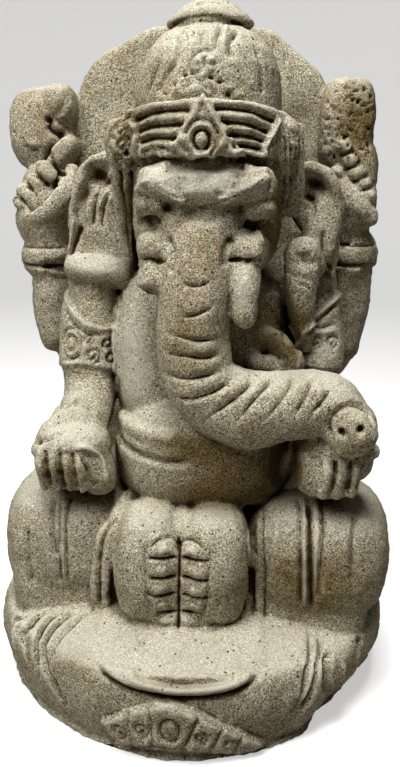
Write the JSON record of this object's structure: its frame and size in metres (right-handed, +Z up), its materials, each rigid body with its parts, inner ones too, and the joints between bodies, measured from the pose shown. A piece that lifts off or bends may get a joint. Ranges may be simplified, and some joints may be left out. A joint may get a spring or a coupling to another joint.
{
  "type": "ganesha statue",
  "caption": "Seated elephant-headed figure with arms raised and lowered, carved in dark stone with an arched back slab on a round base.",
  "frame": {"origin": "on the flat underside, at the centre of the round base", "axes": "+X to the viewer's right, +Y away from the viewer towards the back slab, +Z up; the figure faces -Y"},
  "size_m": [0.5036, 0.4259, 0.8],
  "materials": {
    "lava_stone": "rough weathered volcanic stone with fine pores, pale and dark grains and brown dirt in the hollows"
  },
  "bodies": {
    "root": {"carved_figure": "lava_stone"}
  },
  "joints": []
}
